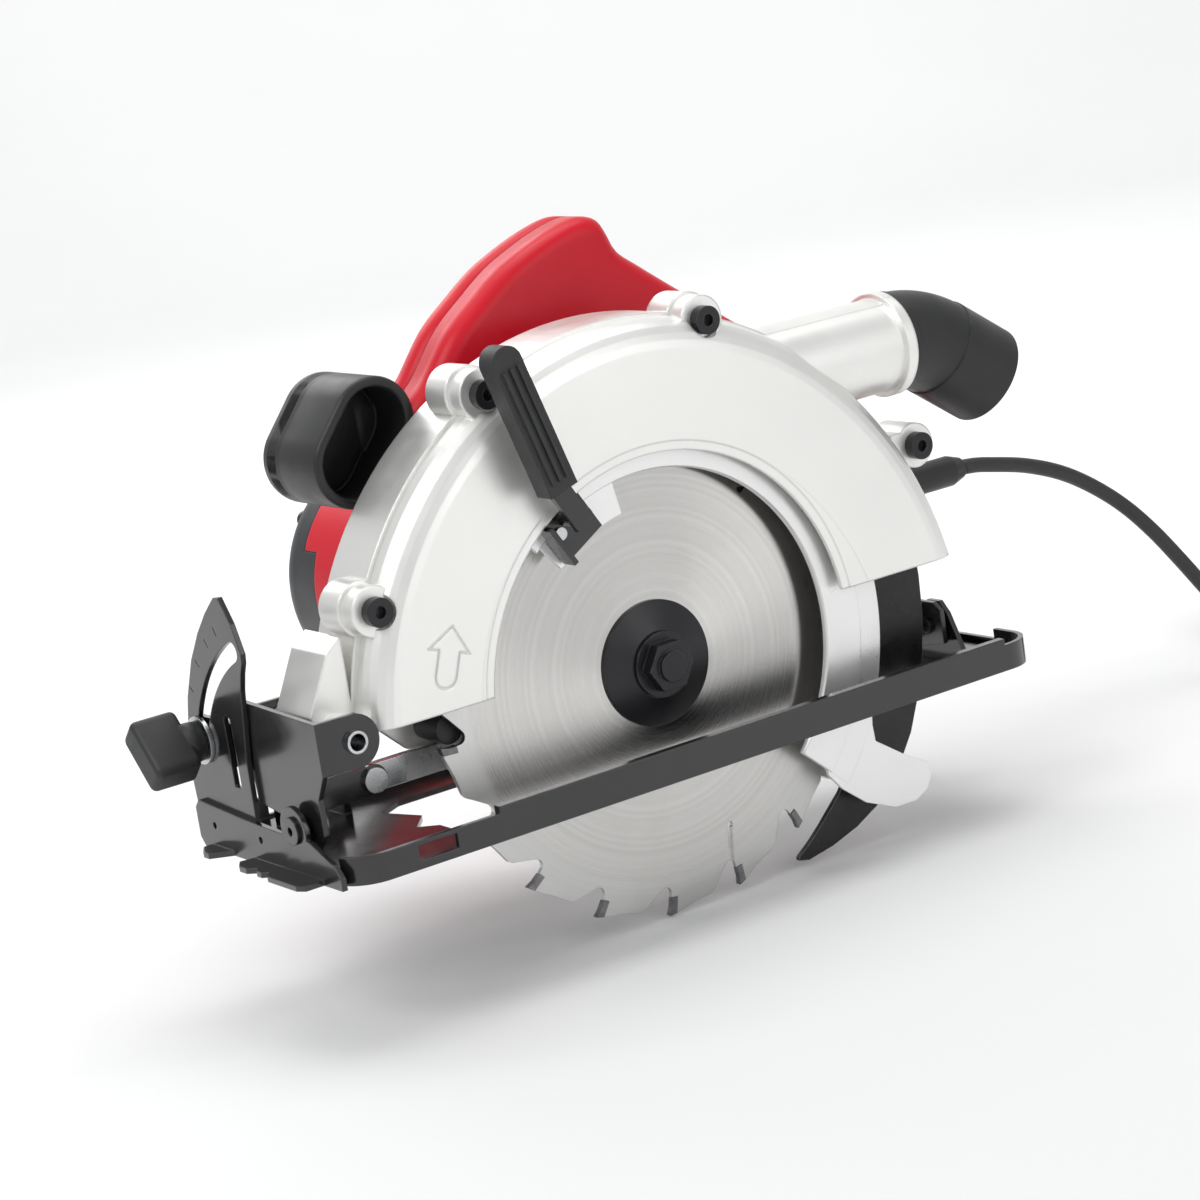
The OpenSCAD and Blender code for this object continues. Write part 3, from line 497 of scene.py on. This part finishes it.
def finish(
    name,
    color,
    rough,
    metal=0.0,
    dark=0.8,
    blotch=22.0,
    grain=1400.0,
    grain_depth=0.00002,
    grain_strength=0.25,
    edge=0.0005,
    wear=None,
    wear_amount=0.5,
    rough_span=0.08,
    specular=0.5,
    coat=0.0,
    pits=None,
):
    """A general procedural finish: broad tone, fine grain, softened and slightly worn edges."""
    n = Nodes(name)
    b = n.bsdf.inputs
    tone = n.noise(blotch, 4.0, 0.55)
    base = n.ramp(
        tone, [(0.3, tuple(c * dark for c in color)), (0.7, color)]
    )
    fine = n.noise(grain, 3.0, 0.6)
    if wear:
        mask = n.edge_mask(edge * 1.2)
        broken = n.ramp(n.noise(160.0, 4.0, 0.65), [(0.42, 0.0), (0.62, 1.0)])
        mask = n.math("MULTIPLY", n.math("MULTIPLY", mask, broken), wear_amount)
        base = n.mix(mask, base, wear)
    n.link(base, b["Base Color"])
    b["Metallic"].default_value = metal
    b["Specular IOR Level"].default_value = specular
    smear = n.noise(60.0, 5.0, 0.6)
    lo, hi = max(0.03, rough - rough_span), min(1.0, rough + rough_span)
    n.link(n.ramp(smear, [(0.3, lo), (0.7, hi)]), b["Roughness"])
    if coat:
        b["Coat Weight"].default_value = coat
        b["Coat Roughness"].default_value = 0.12
    normal = n.round_edges(edge)
    if pits:
        normal = n.bump(n.voronoi(pits), grain_strength, grain_depth * 2, normal)
    n.link(n.bump(fine, grain_strength, grain_depth, normal), b["Normal"])
    return n.mat


CASTING = finish(
    "casting", (0.88, 0.875, 0.85), 0.38, 0.78, dark=0.95, blotch=14, grain=1900,
    grain_depth=0.00003, grain_strength=0.3, edge=0.0012, wear=(0.85, 0.85, 0.84),
    wear_amount=0.35, rough_span=0.05,
)
LOWER = finish(
    "lower_casting", (0.9, 0.9, 0.89), 0.34, 0.65, dark=0.95, blotch=18, grain=1800,
    grain_depth=0.00003, edge=0.0004, wear=(0.95, 0.95, 0.95), wear_amount=0.2,
)
GLOSS = finish(
    "gloss_black", (0.012, 0.012, 0.013), 0.2, 0.0, dark=0.7, grain=900,
    grain_depth=0.00002, grain_strength=0.12, edge=0.0008, wear=(0.16, 0.15, 0.14),
    wear_amount=0.3, rough_span=0.07, coat=0.5,
)
OXIDE = finish(
    "black_oxide", (0.022, 0.022, 0.025), 0.33, 0.35, dark=0.6, grain=1500,
    grain_depth=0.00003, edge=0.0005, wear=(0.3, 0.29, 0.28), wear_amount=0.4,
)
ZINC = finish(
    "zinc", (0.62, 0.63, 0.64), 0.28, 1.0, dark=0.8, blotch=90, grain=1200,
    grain_depth=0.00003, edge=0.0004, wear=(0.8, 0.8, 0.8), wear_amount=0.5,
)
STEEL = finish(
    "machined_steel", (0.5, 0.5, 0.5), 0.3, 1.0, dark=0.75, blotch=60, grain=1300,
    edge=0.0004, wear=(0.7, 0.7, 0.7),
)
CARBIDE = finish(
    "carbide", (0.24, 0.24, 0.25), 0.4, 0.9, dark=0.6, blotch=300, grain=2500, edge=0.0002,
    wear=(0.5, 0.5, 0.5),
)
RUBBER = finish(
    "rubber", (0.016, 0.016, 0.017), 0.42, 0.0, dark=0.75, blotch=40, grain=1700,
    grain_depth=0.00005, grain_strength=0.3, edge=0.001, rough_span=0.07, specular=0.45,
    wear=(0.05, 0.05, 0.05), wear_amount=0.4,
)
MATTE = finish(
    "matte_black_plastic", (0.02, 0.02, 0.021), 0.5, 0.0, dark=0.75, blotch=45, grain=2200,
    grain_depth=0.00006, grain_strength=0.4, edge=0.0008, rough_span=0.08,
    wear=(0.07, 0.07, 0.07), wear_amount=0.4, pits=2600,
)
CORDSKIN = finish(
    "cord_skin", (0.02, 0.02, 0.022), 0.48, 0.0, dark=0.7, blotch=70, grain=1600,
    grain_depth=0.00004, grain_strength=0.3, edge=0.0003, rough_span=0.1,
)
RED = finish(
    "red_plastic", (0.62, 0.004, 0.018), 0.36, 0.0, dark=0.9, blotch=12, grain=2100,
    grain_depth=0.00004, grain_strength=0.28, edge=0.0015, wear=(0.72, 0.06, 0.07),
    wear_amount=0.35, rough_span=0.06, pits=2400, specular=0.3,
)
GREY = finish(
    "dark_grey_plastic", (0.03, 0.031, 0.034), 0.45, 0.0, dark=0.75, blotch=40, grain=2000,
    grain_depth=0.00005, grain_strength=0.35, edge=0.001, pits=2500, wear=(0.08, 0.08, 0.08),
)
COPPER = finish(
    "copper", (0.5, 0.2, 0.08), 0.35, 1.0, dark=0.6, blotch=80, grain=900, edge=0.0003,
    wear=(0.75, 0.4, 0.2),
)
LAMINATED = finish(
    "laminations", (0.14, 0.13, 0.13), 0.5, 0.7, dark=0.6, blotch=60, grain=1500, edge=0.0004,
    wear=(0.3, 0.29, 0.28),
)
FANPLASTIC = finish(
    "fan_plastic", (0.05, 0.05, 0.055), 0.45, 0.0, dark=0.8, blotch=60, grain=1800, edge=0.0004,
    wear=(0.1, 0.1, 0.1),
)


def blade_finish():
    """Ground steel: fine circular lines, a plainer outer ring and a few darker tints."""
    n = Nodes("blade_steel")
    b = n.bsdf.inputs
    off = n.new("ShaderNodeVectorMath", operation="SUBTRACT")
    off.inputs[1].default_value = (0, 0, AXIS / 1000)
    n.link(n.coord, off.inputs[0])
    flat = n.new("ShaderNodeVectorMath", operation="MULTIPLY")
    flat.inputs[1].default_value = (1, 0, 1)
    n.link(off.outputs[0], flat.inputs[0])
    length = n.new("ShaderNodeVectorMath", operation="LENGTH")
    n.link(flat.outputs[0], length.inputs[0])
    radius = length.outputs["Value"]
    # lines that depend on the radius only
    comb = n.new("ShaderNodeCombineXYZ")
    n.link(radius, comb.inputs[0])
    lines = n.noise(5200.0, 3.0, 0.7, comb.outputs[0])
    broad = n.noise(420.0, 2.0, 0.5, comb.outputs[0])
    tone = n.noise(35.0, 4.0, 0.6)
    base = n.ramp(broad, [(0.3, (0.5, 0.49, 0.47)), (0.7, (0.6, 0.59, 0.575))])
    base = n.mix(
        n.ramp(lines, [(0.35, 0.0), (0.75, 0.55)]), base, (0.74, 0.73, 0.72)
    )
    outer = n.ramp(radius, [(0.0806, 0.0), (0.0812, 1.0)])
    base = n.mix(n.math("MULTIPLY", outer, 0.6), base, (0.62, 0.62, 0.615))
    base = n.mix(n.ramp(tone, [(0.55, 0.0), (0.8, 0.18)]), base, (0.4, 0.38, 0.35))
    n.link(base, b["Base Color"])
    b["Metallic"].default_value = 1.0
    rough = n.mix(outer, n.ramp(lines, [(0.3, 0.2), (0.7, 0.3)]), (0.3, 0.3, 0.3))
    n.link(rough, b["Roughness"])
    b["Anisotropic"].default_value = 0.9
    cross = n.new("ShaderNodeVectorMath", operation="CROSS_PRODUCT")
    n.link(flat.outputs[0], cross.inputs[0])
    cross.inputs[1].default_value = (0, 1, 0)
    world = n.new(
        "ShaderNodeVectorTransform",
        vector_type="VECTOR",
        convert_from="OBJECT",
        convert_to="WORLD",
    )
    n.link(cross.outputs[0], world.inputs[0])
    n.link(world.outputs[0], b["Tangent"])
    n.link(n.bump(lines, 0.1, 0.00001, n.round_edges(0.0003)), b["Normal"])
    return n.mat


BLADE = blade_finish()


def knife_finish():
    """Black plate with painted highlights: light grey painted along all its edges."""
    n = Nodes("knife_plate")
    b = n.bsdf.inputs
    black = [(0.3, (0.01, 0.01, 0.011)), (0.7, (0.02, 0.02, 0.021))]
    tone = n.ramp(n.noise(60.0, 4.0, 0.6), black)
    # painted highlight: every edge of the plate is tinted towards light grey
    mask = n.edge_mask(0.0006)
    n.link(n.mix(n.math("MULTIPLY", mask, 0.6), tone, (0.45, 0.45, 0.45)), b["Base Color"])
    n.link(n.ramp(n.noise(90.0), [(0.3, 0.22), (0.7, 0.36)]), b["Roughness"])
    b["Metallic"].default_value = 0.3
    n.link(n.bump(n.noise(1300.0), 0.2, 0.00002, n.round_edges(0.0004)), b["Normal"])
    return n.mat


KNIFE = knife_finish()

FINISH = {}
for mat, names in (
    (CASTING, "guard_cover guard_shell gear_case"),
    (LOWER, "lower_guard"),
    (BLADE, "blade"),
    (CARBIDE, "blade_tips"),
    (
        OXIDE,
        "outer_flange blade_bolt cover_screws depth_bolt cap_screws handle_screws "
        "fence_screw",
    ),
    (
        GLOSS,
        "base_plate front_flange bevel_quadrant base_pivots rear_lug tilt_bracket rear_bracket "
        "depth_arc guard_bracket",
    ),
    (
        ZINC,
        "tie_strap strap_rivet depth_pin bevel_bolt guard_rivets aux_spacer knife_bolts "
        "plug_pins",
    ),
    (KNIFE, "riving_knife"),
    (RUBBER, "dust_elbow cord_sleeve plug aux_handle guard_stop"),
    (MATTE, "bevel_knob depth_lever guard_lever lock_button trigger spindle_lock"),
    (RED, "handle_near handle_far motor_housing"),
    (GREY, "motor_cap switch_block"),
    (STEEL, "spindle spindle_bearings motor_bearings spindle_gear armature_shaft"),
    (LAMINATED, "stator armature_core"),
    (COPPER, "commutator brushes"),
    (FANPLASTIC, "fan"),
):
    for name in names.split():
        FINISH[name] = mat


def paint(obj, mat):
    """Give the object this one material."""
    obj.data.materials.clear()
    obj.data.materials.append(mat)


for name, obj in nodes.items():
    if hasattr(obj.data, "materials"):
        paint(obj, FINISH.get(name, MATTE))
paint(cord_run, CORDSKIN)
paint(grip_near, RED)
paint(grip_far, RED)
paint(front_grip, RUBBER)
paint(knob, MATTE)


# ---------------------------------------------------------------- floor and light
def stage_mesh():
    """A pale sweep: floor, a curve and a wall behind, turned to face the camera."""
    bm = bmesh.new()
    profile = [(-2.2, 0.0), (-1.0, 0.0), (0.0, 0.0), (1.2, 0.0), (2.0, 0.0)]
    for k in range(1, 13):
        a = math.radians(90 * k / 12)
        profile.append((2.0 + 0.9 * math.sin(a), 0.9 * (1 - math.cos(a))))
    profile += [(2.9, 2.2), (2.9, 3.6)]
    rows = []
    for d, h in profile:
        rows.append([bm.verts.new((x, d, h)) for x in (-3.4, -1.5, 0, 1.5, 3.4)])
    for a, b in zip(rows, rows[1:]):
        for k in range(4):
            bm.faces.new((a[k], a[k + 1], b[k + 1], b[k]))
    mesh = bpy.data.meshes.new("sweep")
    bm.to_mesh(mesh)
    bm.free()
    return mesh


sweep = add("sweep", stage_mesh())
sweep.matrix_world = Matrix.Translation((0, 0, FLOOR)) @ Matrix.Rotation(
    CAM_AZIMUTH, 4, "Z"
)
paper = Nodes("paper")
paper.link(
    paper.ramp(paper.noise(3.0), [(0.3, (0.79, 0.79, 0.79)), (0.7, (0.81, 0.81, 0.81))]),
    paper.bsdf.inputs["Base Color"],
)
paper.bsdf.inputs["Roughness"].default_value = 0.8
paint(sweep, paper.mat)


def light(name, spot, aim, size, power, size_y):
    """A soft box of size by size_y metres at spot, turned to aim."""
    data = bpy.data.lights.new(name, "AREA")
    data.energy = power
    data.shape = "RECTANGLE"
    data.size = size
    data.size_y = size_y
    obj = bpy.data.objects.new(name, data)
    bpy.context.scene.collection.objects.link(obj)
    obj.location = spot
    obj.rotation_euler = (Vector(spot) - Vector(aim)).to_track_quat("Z", "Y").to_euler()
    return obj


centre = Vector((0, 0, 0.06))


def around(side, front, height):
    """A spot given to the right of, towards and above the camera's aim."""
    flat_back = Vector((cam_back.x, cam_back.y, 0)).normalized()
    flat_right = Vector((-flat_back.y, flat_back.x, 0))
    return tuple(centre + flat_right * side + flat_back * front + Vector((0, 0, height)))


light("key", around(-0.9, 0.9, 1.25), centre, 0.9, 11, 0.7)
light("fill", around(1.3, 0.9, 0.5), centre, 0.7, 4, 1.2)
light("top", around(0.1, -0.2, 1.6), centre, 1.2, 8, 0.8)
light("rim", around(-0.6, -1.1, 0.8), centre, 0.8, 4, 0.8)
light("wall", around(0, -0.7, 1.9), Vector(around(0, -2.9, 0.7)), 2.2, 34, 0.8)

world = bpy.data.worlds.new("World")
bpy.context.scene.world = world
world.use_nodes = True
background = world.node_tree.nodes["Background"]
background.inputs["Color"].default_value = (0.95, 0.96, 0.97, 1)
background.inputs["Strength"].default_value = 0.62

bpy.context.scene.view_settings.view_transform = "Standard"

bpy.context.view_layer.update()
print("cord length", round(cord_length, 3))
